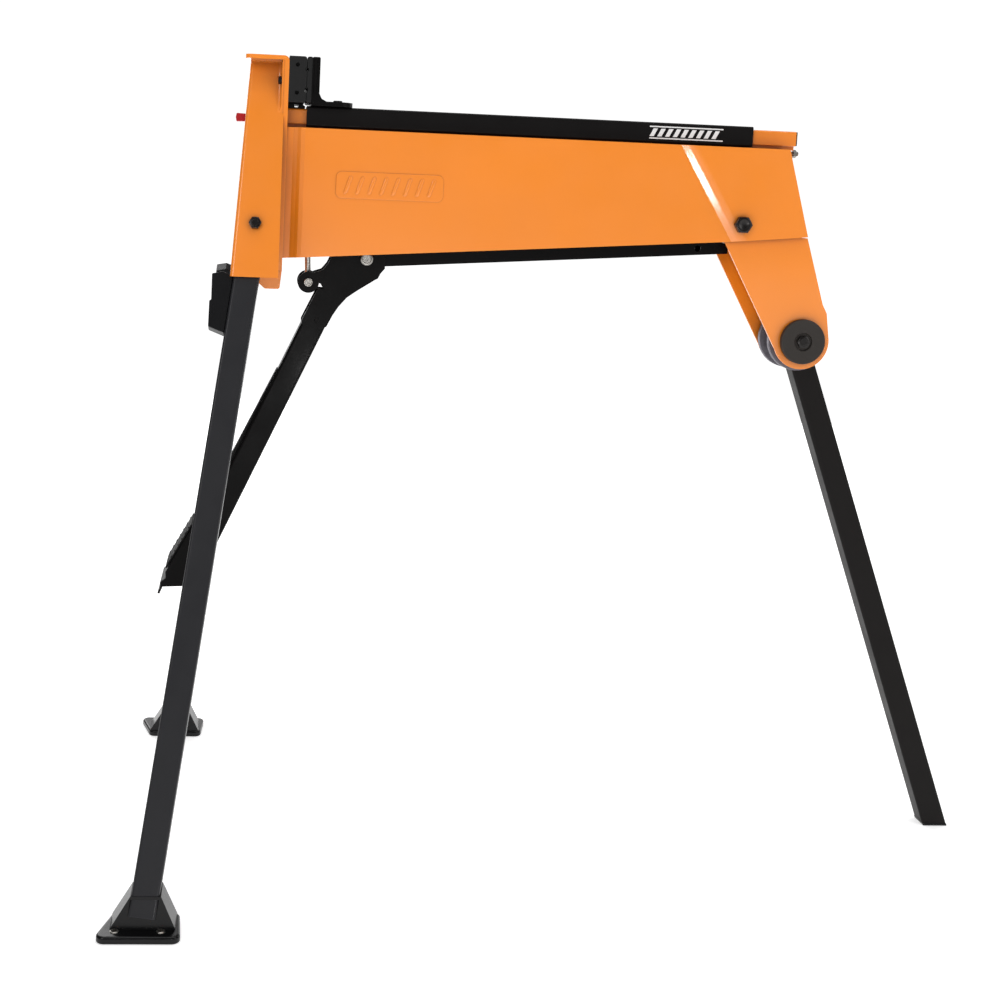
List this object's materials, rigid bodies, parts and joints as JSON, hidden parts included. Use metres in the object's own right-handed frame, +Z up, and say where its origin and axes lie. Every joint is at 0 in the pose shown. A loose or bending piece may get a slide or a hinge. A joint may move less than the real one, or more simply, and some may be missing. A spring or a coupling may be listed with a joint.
{
  "type": "clamping sawhorse",
  "caption": "Foot-operated clamping sawhorse: a jaw on a sliding bar over a pressed chassis, with a pedal, two splayed front legs and a single folding rear leg.",
  "frame": {"origin": "on the floor, at the middle of the stand's outer box", "axes": "+X from the fixed jaw at the front to the rear leg, +Y to a front user's left, +Z up"},
  "size_m": [1.0763, 0.634, 0.956],
  "materials": {
    "orange_paint": "gloss",
    "black_paint": "satin",
    "jaw_rubber": "matte",
    "black_plastic": "gloss",
    "red_plastic": "gloss",
    "cast_grey": "cast",
    "zinc_steel": "zinc"
  },
  "bodies": {
    "chassis": {"chassis_shell": "orange_paint", "slide_rail": "orange_paint", "rail_end_tab": "orange_paint", "rail_end_cap": "black_plastic", "rail_end_screw": "zinc_steel", "side_fields": "orange_paint", "front_jaw_plate": "orange_paint", "fixed_jaw_pad": "jaw_rubber", "fixed_pad_screws": "zinc_steel", "jaw_plate_bolts": "zinc_steel", "bar_guide": "black_plastic", "front_housing": "orange_paint", "front_gusset": "orange_paint", "leg_ear_right": "black_paint", "leg_ear_left": "black_paint", "leg_pivot_bolt_right": "zinc_steel", "leg_pivot_bolt_left": "zinc_steel", "carrier_rail": "black_paint", "carrier_rear_pin": "zinc_steel", "carrier_hanger": "zinc_steel", "pedal_pin": "zinc_steel", "crank_pin": "zinc_steel", "pedal_return_spring": "zinc_steel", "drop_plate_right": "orange_paint", "drop_plate_left": "orange_paint", "drop_plate_web": "orange_paint", "chassis_cross_bolt": "zinc_steel", "hub_cap": "black_plastic", "hub_bolt": "zinc_steel", "hub_washer": "zinc_steel", "lock_switch_pin": "zinc_steel"},
    "jaw_carriage": {"sliding_bar": "black_paint", "moving_jaw_pad": "jaw_rubber", "moving_jaw": "black_paint", "moving_jaw_screws": "zinc_steel"},
    "pedal": {"pedal_cheeks": "black_paint", "pedal_arm": "black_paint", "pedal_rivet": "zinc_steel", "nose_pin": "zinc_steel", "pedal_arm_strip": "jaw_rubber", "pedal_tread": "black_paint", "pedal_tread_cover": "jaw_rubber"},
    "crank": {"drive_crank": "black_paint", "grip_plate": "zinc_steel", "link_top_pin": "zinc_steel"},
    "link": {"link_rod": "zinc_steel"},
    "front_leg_right": {"front_leg_right": "black_paint", "front_foot_right": "black_plastic"},
    "front_leg_left": {"front_leg_left": "black_paint", "front_foot_left": "black_plastic"},
    "leg_lock_right": {"leg_catch_right": "black_plastic"},
    "leg_lock_left": {"leg_catch_left": "black_plastic"},
    "rear_leg": {"rear_leg_tube": "black_paint", "rear_leg_plug": "black_plastic", "hub_drums": "cast_grey"},
    "knob": {"rear_leg_knob": "black_plastic"},
    "switch": {"lock_switch": "red_plastic"}
  },
  "joints": [
    {"name": "jaw_slide", "type": "slide", "parent": "chassis", "child": "jaw_carriage", "axis": [1, 0, 0], "range_m": [0, 0.45]},
    {"name": "pedal_press", "type": "hinge", "parent": "chassis", "child": "pedal", "pos_m": [-0.26, 0, 0.717], "axis": [0, -1, 0], "range_deg": [0, 22], "stiffness_Nm_per_rad": 14, "springref_deg": -25.78},
    {"name": "crank_turn", "type": "hinge", "parent": "chassis", "child": "crank", "pos_m": [-0.285, 0, 0.8], "axis": [0, -1, 0], "range_deg": [0, 31]},
    {"name": "link_swing", "type": "hinge", "parent": "crank", "child": "link", "pos_m": [-0.335, 0, 0.79], "axis": [0, -1, 0], "range_deg": [-28, 0]},
    {"name": "switch_rock", "type": "hinge", "parent": "chassis", "child": "switch", "pos_m": [-0.405, 0, 0.882], "axis": [0, 1, 0], "range_deg": [-8, 8]},
    {"name": "front_leg_right_fold", "type": "hinge", "parent": "chassis", "child": "front_leg_right", "pos_m": [-0.397, -0.062, 0.751], "axis": [0, -0.9564, 0.2922], "range_deg": [0, 97]},
    {"name": "front_leg_left_fold", "type": "hinge", "parent": "chassis", "child": "front_leg_left", "pos_m": [-0.397, 0.062, 0.751], "axis": [0, -0.9564, -0.2922], "range_deg": [0, 97]},
    {"name": "leg_lock_right_slide", "type": "slide", "parent": "front_leg_right", "child": "leg_lock_right", "axis": [0.1214, 0.29, 0.9493], "range_m": [-0.012, 0], "stiffness_N_per_m": 400, "springref_m": 0.006},
    {"name": "leg_lock_left_slide", "type": "slide", "parent": "front_leg_left", "child": "leg_lock_left", "axis": [0.1214, -0.29, 0.9493], "range_m": [-0.012, 0], "stiffness_N_per_m": 400, "springref_m": 0.006},
    {"name": "rear_leg_fold", "type": "hinge", "parent": "chassis", "child": "rear_leg", "pos_m": [0.287, 0, 0.636], "axis": [0, 1, 0], "range_deg": [0, 74]},
    {"name": "knob_turn", "type": "hinge", "parent": "chassis", "child": "knob", "pos_m": [0.287, 0.04, 0.636], "axis": [0, 1, 0], "range_deg": [0, 180]}
  ],
  "couplings": [
    {"joint": "crank_turn", "follows": "pedal_press", "ratio": 1.39},
    {"joint": "link_swing", "follows": "pedal_press", "ratio": -1.238}
  ]
}
